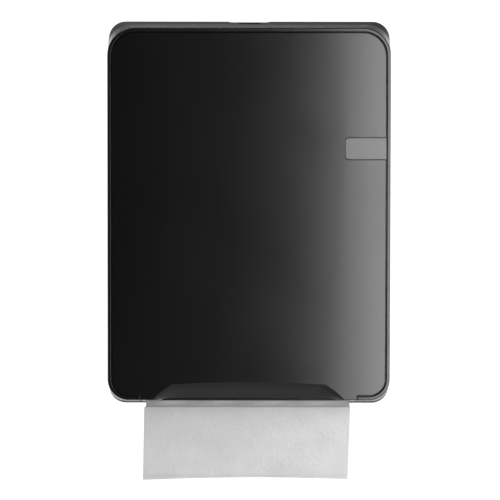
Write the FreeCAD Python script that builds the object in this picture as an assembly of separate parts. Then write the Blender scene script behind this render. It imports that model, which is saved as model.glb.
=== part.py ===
import FreeCAD, Part
import os
from math import atan, cos, radians, sin, sqrt, tan
from FreeCAD import Vector

# A wall-hung dispenser for folded paper hand towels, with a cover that tips forward on two
# hinge pins and a quarter-turn lock in its top. Sizes are in millimetres. X runs to the
# right, the wall is the plane y = 0, the front looks towards -Y and Z is up. The origin is
# the middle of the four wall-screw holes, on the wall.

# Folded towels: the pack, and the sheet that hangs out of the mouth
towel_width = 206.0
pack_depth = 80.0
pack_height = 228.0
pack_middle_depth = 62.0
pack_round = 3.0
rest_gap = 0.3
sheet_thickness = 0.8
crease_drop = 22.4
sheet_drop = 73.0
sheet_lean_degrees = 1.5
sheet_shift_x = -0.6
crease_offset = 2.2
sheet_bow = 2.6

# Room round the pack, which sets the casing's width and the depth of the cover's front rim
side_room = 42.0
front_room = 36.0

# Outline of the casing at the wall, and how it draws in towards the rim
casing_height = 395.0
casing_corner_radius = 17.5
side_taper = 8.0
top_taper = 16.3
bottom_taper = 18.2
rim_top_corner_radius = 27.0
rim_bottom_corner_radius = 20.5
crown_rise = 3.5

# Walls of the two shells and the gap where they meet
casing_wall = 2.8
back_wall = 3.0
cover_wall = 3.0
parting_depth = 72.0
parting_gap = 0.6
tongue_length = 4.5
tongue_root = 7.0
tongue_thickness = 1.4
tongue_gap = 0.5
tongue_end_height = 55.0
tongue_top_drop = 45.0
tongue_top_inset = 42.0
edge_bevel = 0.7
corner_arcs = 6

# Front panel, its groove and the ledge behind it
panel_thickness = 2.8
groove_width = 1.25
rim_end_inset = 31.0
seat_gap = 0.1
ledge_thickness = 2.5
ledge_width = 13.0
return_depth = 41.0
hook_rows = 3
hook_end_inset = 60.0
hook_inset = 9.5
hook_width = 9.0
hook_thickness = 1.8
hook_nose = 1.2
hook_nose_length = 2.6
hook_gap = 0.3

# Finger scoop in the panel's lower edge
scoop_end_margin = 12.6
scoop_shoulder_run = 20.6
scoop_height = 14.1
scoop_depth = 10.0
scoop_draw_in = 9.0
scoop_deep_height = 1.5
scoop_flare = 1.5
shoulder_out_share = 0.55
shoulder_up_share = 0.55
rail_height = 9.0
rail_gap = 3.0

# Bare name plate in the panel's right edge
plate_width = 39.5
plate_height = 20.6
plate_drop = 132.7
plate_thickness = 1.0
plate_corner_radius = 3.5
plate_gap = 0.6
plate_set_in = 0.15

# Wall-screw holes
wall_hole_spacing_x = 170.0
wall_hole_spacing_z = 260.0
wall_hole_radius = 2.75
wall_pad_half = 8.0
wall_pad_height = 3.0
post_half = 5.5
post_height = 6.0

# Tray that the pack stands on
tray_rise = 25.5
tray_thickness = 2.5
tray_side_margin = 6.5
tray_front_margin = 16.0
mouth_length = 42.0
mouth_side_gap = 2.5
mouth_corner_radius = 6.0
mouth_lip_drop = 6.0
mouth_lip_thickness = 2.0
tray_flange_height = 12.0
tray_flange_thickness = 2.0
tray_back_flange_height = 13.0
front_lip_height = 9.0
tray_peg_x = 60.0
tray_screw_rise = 6.5
tray_rest_thickness = 4.0
tray_rest_length = 18.0
tray_rest_inset = 1.2

# Guides that keep the pack upright
guide_side_gap = 1.0
guide_front_gap = 1.0
guide_thickness = 2.0
guide_foot_width = 14.0
guide_flange_width = 12.0
guide_stand_gap = 1.0
guide_height = 205.0
guide_screw_drop = 36.0
guide_peg_rise = 30.0
guide_lead_in = 26.0
guide_slot_width = 38.0
guide_slot_height = 60.0
guide_slot_radius = 8.0
guide_slots = 2

# Self-cutting screws with hexagon heads, and the square pegs that locate what one screw holds
screw_radius = 1.75
screw_head_radius = 3.6
screw_head_height = 2.2
screw_grip = 4.5
screw_clearance = 0.05
screw_hole_gap = 0.3
pilot_spare = 0.5
peg_half = 1.5
peg_gap = 0.15

# Cover hinge
hinge_radius = 9.5
hinge_pin_radius = 2.5
pin_head_radius = 4.2
pin_head_thickness = 1.8
running_gap = 0.05
ear_radius = 6.0
ear_inset = 20.0
ear_thickness = 7.5
ear_root_length = 16.0
boss_side_gap = 1.5
boss_radius = 8.0
pin_reach = 8.0
pin_end_gap = 0.5
bottom_wall_start = 14.5

# Lock in the top of the casing
lock_depth = 40.0
land_width = 40.0
land_length = 62.0
land_drop = 0.7
land_gap = 0.15
pocket_width = 22.0
pocket_front_depth = 59.0
pocket_back_depth = 6.0
pocket_wall = 2.0
pocket_back_radius = 3.0
pocket_side_run = 0.5
pocket_floor_drop = 12.0
pocket_floor_thickness = 2.5
barrel_radius = 8.0
barrel_head_radius = 9.4
barrel_head_thickness = 1.2
barrel_end_drop = 34.0
housing_wall = 2.4
housing_end_drop = 31.5
housing_ear_half = 33.0
housing_ear_width = 13.0
housing_ear_thickness = 2.5
housing_seat_drop = 11.5
housing_screw_x = 27.0
housing_screw_depth = 30.0
key_slot_width = 1.8
key_slot_length = 9.0
key_slot_depth = 1.6
tang_width = 7.0
tang_gap = 0.05
cam_thickness = 2.5
cam_length = 24.5
cam_width = 14.0
washer_radius = 6.2
washer_thickness = 1.0
cam_screw_radius = 1.95
cam_screw_length = 9.0
tang_short = 0.3

# Strike plate on the cover, caught by the cam
strike_inner_x = 11.0
strike_width = 11.0
strike_thickness = 2.5
strike_drop = 23.0
strike_front_inset = 16.0
strike_lip_gap = 1.2
strike_lip_end_drop = 40.0
strike_bend_radius = 1.5
strike_screw_inset = 8.0
strike_peg_inset = 30.0
strike_post_half = 4.6

# One length that every cut runs past the solid
overrun = 5.0

towel_half = towel_width / 2
pack_back_depth = pack_middle_depth - pack_depth / 2
pack_front_depth = pack_middle_depth + pack_depth / 2
casing_width = towel_width + 2 * side_room
rim_depth = pack_front_depth + front_room
rim_half_width = casing_width / 2 - side_taper
rim_end_x = rim_half_width - rim_end_inset
scoop_foot_half = rim_end_x - scoop_end_margin
scoop_top_half = scoop_foot_half - scoop_shoulder_run
casing_front = parting_depth - parting_gap / 2
cover_back = parting_depth + parting_gap / 2
front_reach = rim_depth + crown_rise + overrun
origin = Vector(0, 0, 0)


def eased(start, end, depth):
    """Straight change from the value at the wall to the value at the rim."""
    return start + (end - start) * depth / rim_depth


def half_width_at(depth):
    return eased(casing_width / 2, rim_half_width, depth)


def top_at(depth):
    return eased(casing_height / 2, casing_height / 2 - top_taper, depth)


def bottom_at(depth):
    return eased(-casing_height / 2, bottom_taper - casing_height / 2, depth)


def crown_depth_at(x):
    """Depth of the crowned front at a place across the cover."""
    return rim_depth + crown_rise * (1 - (x / rim_half_width) ** 2)


def box(x0, x1, y0, y1, z0, z1):
    return Part.makeBox(x1 - x0, y1 - y0, z1 - z0, Vector(x0, y0, z0))


def rod_x(x0, x1, y, z, radius):
    return Part.makeCylinder(radius, x1 - x0, Vector(x0, y, z), Vector(1, 0, 0))


def rod_y(x, z, y0, y1, radius):
    return Part.makeCylinder(radius, y1 - y0, Vector(x, y0, z), Vector(0, 1, 0))


def rod_z(x, y, z0, z1, radius):
    return Part.makeCylinder(radius, z1 - z0, Vector(x, y, z0), Vector(0, 0, 1))


def joined(shapes):
    """Fuse a list of shapes into one and clean the seams."""
    return shapes[0].fuse(shapes[1:]).removeSplitter()


def mirrored(shape):
    return shape.mirror(origin, Vector(1, 0, 0))


def line(a, b):
    return Part.LineSegment(a, b).toShape()


def arc(a, b, c):
    return Part.Arc(a, b, c).toShape()


def corner(u, v, radius, start_degrees, place, arcs):
    """Quarter circle in equal arcs, drawn through a function that places points."""
    points = []
    for step in range(2 * arcs + 1):
        angle = radians(start_degrees + 90 * step / (2 * arcs))
        points.append(place(u + radius * cos(angle), v + radius * sin(angle)))
    return [arc(*points[step:step + 3]) for step in range(0, 2 * arcs, 2)]


def rounded_outline(u0, u1, v0, v1, lower_radius, upper_radius, place, arcs=1):
    """Closed outline with rounded corners, placed in space by a function of u and v."""
    low = lower_radius
    high = upper_radius
    edges = [line(place(u0 + low, v0), place(u1 - low, v0))]
    edges += corner(u1 - low, v0 + low, low, 270, place, arcs)
    edges.append(line(place(u1, v0 + low), place(u1, v1 - high)))
    edges += corner(u1 - high, v1 - high, high, 0, place, arcs)
    edges.append(line(place(u1 - high, v1), place(u0 + high, v1)))
    edges += corner(u0 + high, v1 - high, high, 90, place, arcs)
    edges.append(line(place(u0, v1 - high), place(u0, v0 + low)))
    edges += corner(u0 + low, v0 + low, low, 180, place, arcs)
    return Part.Wire(edges)


def upright(depth):
    """Places outline points in a plane parallel to the wall."""
    return lambda u, v: Vector(u, -depth, v)


def level(z):
    """Places outline points in a level plane."""
    return lambda u, v: Vector(u, v, z)


def body_section(depth, inset):
    """Outline at a depth. Short corner arcs keep the faces between two outlines light."""
    half = half_width_at(depth) - inset
    low = eased(casing_corner_radius, rim_bottom_corner_radius, depth) - inset
    high = eased(casing_corner_radius, rim_top_corner_radius, depth) - inset
    z0 = bottom_at(depth) + inset
    z1 = top_at(depth) - inset
    return rounded_outline(-half, half, z0, z1, low, high, upright(depth), corner_arcs)


def body(depth0, depth1, inset):
    """Solid of the tapering outline between two depths, drawn in by an inset."""
    ends = [body_section(depth0, inset), body_section(depth1, inset)]
    return Part.makeLoft(ends, True, True)


def behind_crown(setback):
    """All that lies behind the crowned front, once the crown is moved back by a setback."""
    reach = casing_width / 2 + overrun
    z0 = -casing_height
    side_y = setback - crown_depth_at(reach)
    back_y = overrun
    front = Part.Arc(
        Vector(-reach, side_y, z0),
        Vector(0, setback - crown_depth_at(0), z0),
        Vector(reach, side_y, z0),
    ).toShape()
    edges = [
        front,
        line(Vector(reach, side_y, z0), Vector(reach, back_y, z0)),
        line(Vector(reach, back_y, z0), Vector(-reach, back_y, z0)),
        line(Vector(-reach, back_y, z0), Vector(-reach, side_y, z0)),
    ]
    return Part.Face(Part.Wire(edges)).extrude(Vector(0, 0, 2 * casing_height))


def crown_layer(setback, thickness):
    """Curved sheet that follows the crown, a thickness deep behind a setback."""
    return behind_crown(setback).cut(behind_crown(setback + thickness))


def fronted(depth0, inset):
    """Outline from a depth to the crowned front, with a bevelled front edge."""
    solid = behind_crown(0).common(body(depth0, front_reach, inset))
    edges = [edge for edge in solid.Edges if edge.BoundBox.YMax < edge_bevel - rim_depth]
    return solid.makeChamfer(edge_bevel, edges)


def top_slab(half, depth0, depth1, upper_drop, lower_drop):
    """Slab under the casing's sloping top, between two drops below it."""
    corners = [(depth0, upper_drop), (depth1, upper_drop), (depth1, lower_drop), (depth0, lower_drop)]
    points = [Vector(-half, -depth, top_at(depth) - drop) for depth, drop in corners]
    face = Part.Face(Part.makePolygon(points + points[:1]))
    return face.extrude(Vector(2 * half, 0, 0))


def screw(radius, grip, place, direction):
    """Hexagon-head screw, its head's seat at a place and its shank along a direction."""
    points = []
    for step in range(6):
        angle = radians(60 * step)
        u = screw_head_radius * cos(angle)
        v = screw_head_radius * sin(angle)
        points.append(Vector(u, v, -screw_head_height))
    head = Part.Face(Part.makePolygon(points + points[:1])).extrude(Vector(0, 0, screw_head_height))
    part = joined([head, rod_z(0, 0, 0, grip, radius)])
    part.Placement = FreeCAD.Placement(place, FreeCAD.Rotation(Vector(0, 0, 1), direction))
    return part


# Places that several pieces share
hinge_y = -(cover_back + hinge_radius)
bottom_slope = atan(bottom_taper / rim_depth)
hinge_z = bottom_at(-hinge_y) + hinge_radius / cos(bottom_slope)
ear_inner_x = rim_half_width - ear_inset
mouth_half = towel_half + mouth_side_gap
mouth_back_depth = pack_middle_depth - mouth_length / 2
mouth_front_depth = pack_middle_depth + mouth_length / 2
tray_top_z = bottom_at(0) + tray_rise
tray_under_z = tray_top_z - tray_thickness
tray_half_width = mouth_half + tray_side_margin
tray_front_depth = pack_front_depth + tray_front_margin
seat_depth = back_wall + post_height
guide_inner_x = towel_half + guide_side_gap
guide_screw_x = guide_inner_x + guide_thickness + guide_foot_width / 2
guide_bottom_z = tray_top_z + tray_back_flange_height + guide_stand_gap
guide_top_z = guide_bottom_z + guide_height
guide_screw_z = guide_top_z - guide_screw_drop
guide_peg_z = guide_bottom_z + guide_peg_rise
tray_screw_z = tray_top_z + tray_screw_rise
screw_places = [(-guide_screw_x, guide_screw_z), (guide_screw_x, guide_screw_z), (0, tray_screw_z)]
guide_peg_places = [(-guide_screw_x, guide_peg_z), (guide_screw_x, guide_peg_z)]
tray_peg_places = [(-tray_peg_x, tray_screw_z), (tray_peg_x, tray_screw_z)]
screw_hole_radius = screw_radius + screw_hole_gap
pilot_radius = screw_radius + screw_clearance
pilot_depth = screw_grip + pilot_spare
pocket_half = pocket_width / 2
pocket_floor_z = top_at(0) - pocket_floor_drop
barrel_end_z = top_at(0) - barrel_end_drop
housing_end_z = top_at(0) - housing_end_drop
housing_seat_z = top_at(0) - housing_seat_drop
floor_under_z = pocket_floor_z - pocket_floor_thickness
housing_radius = barrel_radius + running_gap + housing_wall
housing_ear_under_z = housing_seat_z - housing_ear_thickness
strike_middle_x = strike_inner_x + strike_width / 2
strike_top_z = top_at(0) - strike_drop
strike_under_z = strike_top_z - strike_thickness
strike_lip_end_z = top_at(0) - strike_lip_end_drop
strike_front_depth = rim_depth - strike_front_inset
strike_screw_depth = strike_front_depth - strike_screw_inset
strike_peg_depth = strike_front_depth - strike_peg_inset
panel_inset = cover_wall + groove_width
plate_middle_z = top_at(0) - plate_drop
rim_bottom_z = bottom_at(rim_depth)
scoop_roof_z = rim_bottom_z + scoop_height
panel_end_x = rim_end_x - groove_width
return_back_depth = rim_depth - return_depth


def hook_places():
    """Centres of the panel's snap hooks, in two columns, with the side that each stands on."""
    x = rim_half_width - hook_inset
    z0 = rim_bottom_z + hook_end_inset
    z1 = top_at(rim_depth) - hook_end_inset
    heights = [z0 + (z1 - z0) * row / (hook_rows - 1) for row in range(hook_rows)]
    return [(side * x, z, side) for z in heights for side in (-1, 1)]


def hook(x, z, side):
    """Snap hook behind the panel, with a sloped nose that catches behind the ledge."""
    root_y = panel_thickness / 2 - crown_depth_at(x)
    catch_y = panel_thickness + seat_gap + ledge_thickness + hook_gap - crown_depth_at(x)
    tip_y = catch_y + hook_nose_length
    inner = x - side * hook_thickness / 2
    outer = x + side * hook_thickness / 2
    corners = [(inner, root_y), (outer, root_y), (outer, catch_y), (outer + side * hook_nose, catch_y),
               (outer, tip_y), (inner, tip_y)]
    points = [Vector(u, v, z - hook_width / 2) for u, v in corners]
    return Part.Face(Part.makePolygon(points + points[:1])).extrude(Vector(0, 0, hook_width))


def hinge_ear():
    """Right-hand ear of the casing, which carries a hinge pin."""
    x1 = ear_inner_x + ear_thickness
    root_y = -(casing_front - ear_root_length)
    eye = rod_x(ear_inner_x, x1, hinge_y, hinge_z, ear_radius)
    arm = box(ear_inner_x, x1, hinge_y, root_y, hinge_z - ear_radius, hinge_z + ear_radius)
    foot = box(ear_inner_x, x1, -casing_front, root_y, bottom_at(0), hinge_z)
    foot = foot.common(body(0, casing_front, casing_wall / 2))
    bore = rod_x(ear_inner_x - overrun, x1 + overrun, hinge_y, hinge_z, hinge_pin_radius + running_gap / 2)
    return joined([eye, arm, foot]).cut(bore)


def post(x, z):
    """Square post on the back wall, as tall as the seats of the tray and the guides."""
    return box(x - post_half, x + post_half, -seat_depth, -back_wall / 2, z - post_half, z + post_half)


def wall_peg(x, z, half, reach):
    """Square prism that stands out from a post by a reach."""
    return box(x - half, x + half, -seat_depth - reach, -back_wall, z - half, z + half)


def top_peg(x, depth, half, z0, z1):
    """Square upright prism."""
    return box(x - half, x + half, -depth - half, -depth + half, z0, z1)


def wall_casing():
    """Back shell: wall plate, four sides, posts, locating lips, hinge ears and the lock's notch."""
    skin = body(0, casing_front, 0)
    hollow = body(back_wall, casing_front + overrun, casing_wall)
    shell = skin.cut(hollow)

    tongue_back = casing_front - tongue_root
    tongue_front = cover_back + tongue_length
    tongue_inner = casing_wall + tongue_gap + tongue_thickness
    root = body(tongue_back, casing_front, casing_wall / 2)
    tip = body(tongue_back, tongue_front, cover_wall + tongue_gap)
    ring = root.fuse(tip).cut(body(tongue_back - overrun, tongue_front + overrun, tongue_inner))
    low_z = bottom_at(0) + tongue_end_height
    high_z = top_at(0) - tongue_top_drop
    sides = box(-casing_width, casing_width, -front_reach, 0, low_z, high_z)
    top_half = rim_half_width - tongue_top_inset
    top = box(-top_half, top_half, -front_reach, 0, high_z, casing_height)

    pieces = [shell, ring.common(sides), ring.common(top)]
    wall_holes = [
        (x, z)
        for x in (-wall_hole_spacing_x / 2, wall_hole_spacing_x / 2)
        for z in (-wall_hole_spacing_z / 2, wall_hole_spacing_z / 2)
    ]
    pad = wall_pad_half
    for x, z in wall_holes:
        pieces.append(box(x - pad, x + pad, -(back_wall + wall_pad_height), -back_wall / 2, z - pad, z + pad))
    pieces += [post(x, z) for x, z in screw_places + guide_peg_places + tray_peg_places]
    pieces += [wall_peg(x, z, peg_half, guide_thickness) for x, z in guide_peg_places]
    pieces += [wall_peg(x, z, peg_half, tray_flange_thickness) for x, z in tray_peg_places]
    rest_x = tray_half_width - tray_rest_inset
    rest = box(
        rest_x - tray_rest_thickness, rest_x,
        -(casing_front - tray_rest_inset), -(casing_front - tray_rest_inset - tray_rest_length),
        bottom_at(0), tray_under_z,
    )
    hanger = top_peg(housing_screw_x, housing_screw_depth, post_half, housing_seat_z, top_at(0))
    pieces += [rest, mirrored(rest), hanger, mirrored(hanger)]
    pieces.append(top_peg(-housing_screw_x, housing_screw_depth, peg_half, housing_ear_under_z, top_at(0)))
    inside = joined([piece.common(body(0, tongue_front, 0)) for piece in pieces])

    mouth_back_y = mouth_lip_thickness - mouth_back_depth
    cuts = [box(-mouth_half, mouth_half, -front_reach, mouth_back_y, -casing_height, tray_under_z)]
    cuts.append(top_slab(land_width / 2, -overrun, land_length, -overrun, casing_wall))
    cuts += [rod_y(x, z, -seat_depth, overrun, wall_hole_radius) for x, z in wall_holes]
    for x, z in screw_places:
        cuts.append(rod_y(x, z, -seat_depth - overrun, pilot_depth - seat_depth, pilot_radius))
    cuts.append(rod_z(housing_screw_x, -housing_screw_depth, 0, housing_seat_z + pilot_depth, pilot_radius))
    ear = hinge_ear()
    return inside.cut(cuts).fuse([ear, mirrored(ear)]).removeSplitter()


def towel_tray():
    """Shelf with the towel mouth, turned-up sides and front, and rounded lips at the mouth."""
    back_y = -seat_depth
    front_y = -tray_front_depth
    half = tray_half_width
    plate = box(-half, half, front_y, back_y, tray_under_z, tray_top_z)
    pieces = [plate]
    flange_top_z = tray_top_z + tray_flange_height
    side = box(half - tray_flange_thickness, half, front_y, back_y, tray_under_z, flange_top_z)
    pieces += [side, mirrored(side)]
    back_top_z = tray_top_z + tray_back_flange_height
    pieces.append(box(-half, half, back_y - tray_flange_thickness, back_y, tray_under_z, back_top_z))
    front_y1 = front_y + tray_flange_thickness
    pieces.append(box(-half, half, front_y, front_y1, tray_under_z, tray_top_z + front_lip_height))
    lip_under = tray_under_z - mouth_lip_drop
    back_lip_y = -mouth_back_depth
    front_lip_y = -mouth_front_depth
    lip_half = mouth_half - mouth_corner_radius
    bead_radius = mouth_lip_thickness / 2
    for y0 in (back_lip_y, front_lip_y - mouth_lip_thickness):
        lip = box(-lip_half, lip_half, y0, y0 + mouth_lip_thickness, lip_under + bead_radius, tray_top_z)
        bead = rod_x(-lip_half, lip_half, y0 + bead_radius, lip_under + bead_radius, bead_radius)
        pieces += [lip, bead]
    outline = rounded_outline(-mouth_half, mouth_half, front_lip_y, back_lip_y,
                              mouth_corner_radius, mouth_corner_radius, level(lip_under))
    mouth = Part.Face(outline).extrude(Vector(0, 0, -lip_under))
    cuts = [mouth, rod_y(0, tray_screw_z, back_y - tray_flange_thickness, 0, screw_hole_radius)]
    cuts += [wall_peg(x, z, peg_half + peg_gap, overrun) for x, z in tray_peg_places]
    return joined(pieces).cut(cuts)


def pack_guide_right():
    """Upright channel beside the pack: a foot on the posts, a web and two flanges round the pack."""
    x0 = guide_inner_x
    x1 = x0 + guide_thickness
    x_foot = x1 + guide_foot_width
    x_flange = x1 - guide_flange_width
    foot_y = -seat_depth
    rear_y = rest_gap - pack_back_depth
    front_y = -(pack_front_depth + guide_front_gap)
    corners = [
        (x0, foot_y), (x_foot, foot_y), (x_foot, foot_y - guide_thickness), (x1, foot_y - guide_thickness),
        (x1, front_y - guide_thickness), (x_flange, front_y - guide_thickness), (x_flange, front_y),
        (x0, front_y), (x0, rear_y), (x_flange, rear_y), (x_flange, rear_y + guide_thickness),
        (x0, rear_y + guide_thickness),
    ]
    points = [Vector(x, y, guide_bottom_z) for x, y in corners]
    channel = Part.Face(Part.makePolygon(points + points[:1])).extrude(Vector(0, 0, guide_height))
    middle_y = (rear_y + front_y) / 2
    half = guide_slot_width / 2
    cuts = []
    for slot in range(guide_slots):
        z = guide_bottom_z + guide_height * (slot + 1 / 2) / guide_slots
        window = rounded_outline(
            middle_y - half, middle_y + half, z - guide_slot_height / 2, z + guide_slot_height / 2,
            guide_slot_radius, guide_slot_radius, lambda u, v: Vector(x0 - overrun, u, v),
        )
        cuts.append(Part.Face(window).extrude(Vector(guide_thickness + 2 * overrun, 0, 0)))
    slope = [
        Vector(x1 + overrun, front_y + guide_lead_in, guide_top_z),
        Vector(x1 + overrun, front_y - overrun, guide_top_z),
        Vector(x1 + overrun, front_y - overrun, guide_top_z - guide_lead_in),
        Vector(x1 + overrun, front_y, guide_top_z - guide_lead_in),
    ]
    wedge = Part.Face(Part.makePolygon(slope + slope[:1]))
    cuts.append(wedge.extrude(Vector(-guide_flange_width - 2 * overrun, 0, 0)))
    cuts.append(rod_y(guide_screw_x, guide_screw_z, rear_y, 0, screw_hole_radius))
    cuts.append(wall_peg(guide_screw_x, guide_peg_z, peg_half + peg_gap, overrun))
    return channel.cut(cuts)


def towel_pack():
    """Stack of folded towels, with the round folds front and back."""
    z0 = tray_top_z + rest_gap
    stack = box(-towel_half, towel_half, -pack_front_depth, -pack_back_depth, z0, z0 + pack_height)
    folds = [edge for edge in stack.Edges if edge.BoundBox.XLength > towel_half]
    return stack.makeFillet(pack_round, folds)


def towel_sheet():
    """Lower half of a folded sheet: a short length from the pack, a crease, then the free panel."""
    top_z = tray_top_z
    y = -pack_middle_depth
    half = sheet_thickness / 2
    crease_z = top_z - crease_drop
    end_z = crease_z - sheet_drop
    crease_y = y - crease_offset
    start = Vector(0, y, top_z)
    crease = Vector(0, crease_y, crease_z)
    end = Vector(0, y - sheet_bow, end_z)
    above = Vector(0, y - crease_offset / 3, (top_z + crease_z) / 2)
    below = Vector(0, y + sheet_bow / 2, (crease_z + end_z) / 2)
    path = [(start, above, crease), (crease, below, end)]

    def side(offset):
        shift = Vector(0, offset, 0)
        return [arc(a + shift, b + shift, c + shift) for a, b, c in path]

    front = side(-half)
    back = side(half)
    thick = Vector(0, half, 0)
    ends = [line(start + thick, start - thick), line(end - thick, end + thick)]
    outline = Part.Wire(Part.__sortEdges__(front + back + ends))
    sheet = Part.Face(outline).extrude(Vector(2 * towel_width, 0, 0))
    sheet.translate(Vector(-towel_width, 0, 0))
    lean = (start.z - end.z) * tan(radians(sheet_lean_degrees))
    x0 = sheet_shift_x - towel_half
    sides = [
        Vector(x0, y - towel_half, top_z), Vector(x0 + towel_width, y - towel_half, top_z),
        Vector(x0 + towel_width - lean, y - towel_half, end_z), Vector(x0 - lean, y - towel_half, end_z),
    ]
    trim = Part.Face(Part.makePolygon(sides + sides[:1])).extrude(Vector(0, towel_width, 0))
    return sheet.common(trim)


def scoop_arch(depth, grow):
    """Outline of the finger scoop at a depth behind the panel's face, grown by a wall."""
    share = depth / scoop_depth
    foot = scoop_foot_half + grow - scoop_draw_in * share
    top = scoop_top_half + grow - scoop_draw_in * share
    roof_z = rim_bottom_z + grow + scoop_height - (scoop_height - scoop_deep_height) * share
    low_z = rim_bottom_z - scoop_height
    shoulder_x = top + (foot - top) * shoulder_out_share
    shoulder_z = rim_bottom_z + (roof_z - rim_bottom_z) * shoulder_up_share
    y = depth - crown_depth_at(scoop_top_half)
    right = [Vector(foot, y, rim_bottom_z), Vector(shoulder_x, y, shoulder_z), Vector(top, y, roof_z)]
    left = [Vector(-point.x, y, point.z) for point in reversed(right)]
    low_right = Vector(foot, y, low_z)
    low_left = Vector(-foot, y, low_z)
    edges = [line(low_left, low_right), line(low_right, right[0]), arc(right[0], right[1], right[2])]
    edges += [line(right[2], left[0]), arc(left[0], left[1], left[2]), line(left[2], low_left)]
    return Part.Wire(edges)


def scoop(grow):
    """Finger scoop as a solid that narrows inward."""
    return Part.makeLoft([scoop_arch(-overrun, grow), scoop_arch(scoop_depth + grow, grow)], True, True)


def scoop_lip():
    """Shallow flare that softens the scoop's edge at the panel's face."""
    ends = [scoop_arch(-scoop_flare, 2 * scoop_flare), scoop_arch(scoop_flare, 0)]
    return Part.makeLoft(ends, True, True)


def name_plate_outline(gap):
    """Prism along Y over the plate, open past the panel's right edge, grown by a gap."""
    x0 = rim_half_width - panel_inset - plate_width - gap
    x1 = casing_width / 2
    z0 = plate_middle_z - plate_height / 2 - gap
    z1 = plate_middle_z + plate_height / 2 + gap
    radius = plate_corner_radius
    outline = rounded_outline(x0, x1, z0, z1, radius, radius, upright(front_reach))
    return Part.Face(outline).extrude(Vector(0, front_reach, 0))


def front_panel():
    """Crowned satin panel with its lower return, finger scoop, plate recess and snap hooks."""
    inner = behind_crown(panel_thickness)
    sheet = fronted(return_back_depth, panel_inset).cut(inner)
    skin = fronted(return_back_depth, 0)
    low = box(-panel_end_x, panel_end_x, -front_reach, -return_back_depth, -casing_height, scoop_roof_z)
    under = skin.common(low).cut(inner.common(body(0, front_reach, panel_thickness)))
    pocket_roof_z = scoop_roof_z + 2 * panel_thickness
    near = box(-panel_end_x, panel_end_x, -front_reach, -return_back_depth, -casing_height, pocket_roof_z)
    pocket = scoop(panel_thickness).common(skin).common(near)
    panel = joined([sheet, under, pocket]).cut([scoop(0), scoop_lip()])
    recess = crown_layer(-overrun, overrun + plate_thickness + plate_set_in)
    panel = panel.cut(recess.common(name_plate_outline(plate_gap)))
    return panel.fuse([hook(x, z, side) for x, z, side in hook_places()]).removeSplitter()


def cover_frame():
    """Cover shell: four walls, the ledge behind the panel, a cross rail and hinge bosses."""
    outer = fronted(cover_back, 0)
    hollow = body(cover_back - overrun, front_reach + overrun, cover_wall)
    shell = outer.cut(hollow)
    ledge_sheet = crown_layer(panel_thickness + seat_gap, ledge_thickness)
    ledge_sheet = ledge_sheet.common(body(return_back_depth, front_reach, cover_wall / 2))
    window_half = rim_half_width - ledge_width
    window_z0 = scoop_roof_z + rail_gap + rail_height + panel_thickness
    window_z1 = top_at(rim_depth) - ledge_width
    low_radius = rim_bottom_corner_radius - ledge_width / 2
    high_radius = rim_top_corner_radius - ledge_width
    window = rounded_outline(
        -window_half, window_half, window_z0, window_z1, low_radius, high_radius, upright(front_reach),
    )
    ledge = ledge_sheet.cut(Part.Face(window).extrude(Vector(0, front_reach, 0)))
    relief = box(
        -rim_end_x, rim_end_x, -front_reach, 0, -casing_height, scoop_roof_z + rail_gap,
    )
    frame = joined([shell, ledge]).cut(relief)

    ear_end_x = ear_inner_x + ear_thickness + boss_side_gap
    gap_floor = box(-ear_end_x, ear_end_x, hinge_y - bottom_wall_start, 0, -casing_height, hinge_z)
    frame = frame.cut(gap_floor)
    boss = rod_x(ear_end_x, half_width_at(0), hinge_y, hinge_z, boss_radius).common(outer)
    web = box(ear_end_x, half_width_at(0), hinge_y - boss_radius, hinge_y + boss_radius,
              bottom_at(0), hinge_z).common(outer)
    low_corner = box(-casing_width, casing_width, hinge_y, 0, -casing_height, hinge_z)
    rounding = low_corner.cut(rod_x(-casing_width, casing_width, hinge_y, hinge_z, hinge_radius))
    boss = boss.fuse(web)
    frame = frame.fuse([boss, mirrored(boss)]).cut(rounding)
    bore_end = ear_end_x + pin_reach + pin_end_gap
    bore = rod_x(ear_inner_x, bore_end, hinge_y, hinge_z, hinge_pin_radius + running_gap)
    frame = frame.cut([bore, mirrored(bore)])

    middle = strike_middle_x
    posts = [
        top_peg(middle, strike_screw_depth, strike_post_half, strike_top_z, top_at(0)).common(outer),
        top_peg(middle, strike_peg_depth, strike_post_half, strike_top_z, top_at(0)).common(outer),
        top_peg(middle, strike_peg_depth, peg_half, strike_under_z, strike_top_z),
    ]
    cuts = [rod_z(middle, -strike_screw_depth, 0, strike_top_z + pilot_depth, pilot_radius)]
    slot_half = hook_width / 2 + hook_gap
    for x, z, side in hook_places():
        outer_x = x + side * (hook_thickness / 2 + hook_gap)
        inner_x = x - side * (hook_thickness / 2 + hook_nose + hook_gap)
        x0 = min(outer_x, inner_x)
        x1 = max(outer_x, inner_x)
        cuts.append(box(x0, x1, -front_reach, -return_back_depth, z - slot_half, z + slot_half))
    return frame.fuse(posts).cut(cuts).removeSplitter()


def name_plate():
    """Plain plate in the panel's recess."""
    layer = crown_layer(plate_set_in, plate_thickness - seat_gap)
    edge = body(return_back_depth, front_reach, panel_inset)
    return layer.common(name_plate_outline(0)).common(edge)


def hinge_pin_right():
    """Headed pin, pressed into the casing's ear, on which the cover turns."""
    x_head = ear_inner_x - pin_head_thickness
    end_x = ear_inner_x + ear_thickness + boss_side_gap + pin_reach
    shank = rod_x(x_head, end_x, hinge_y, hinge_z, hinge_pin_radius)
    head = rod_x(x_head, ear_inner_x, hinge_y, hinge_z, pin_head_radius)
    return joined([shank, head])


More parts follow.
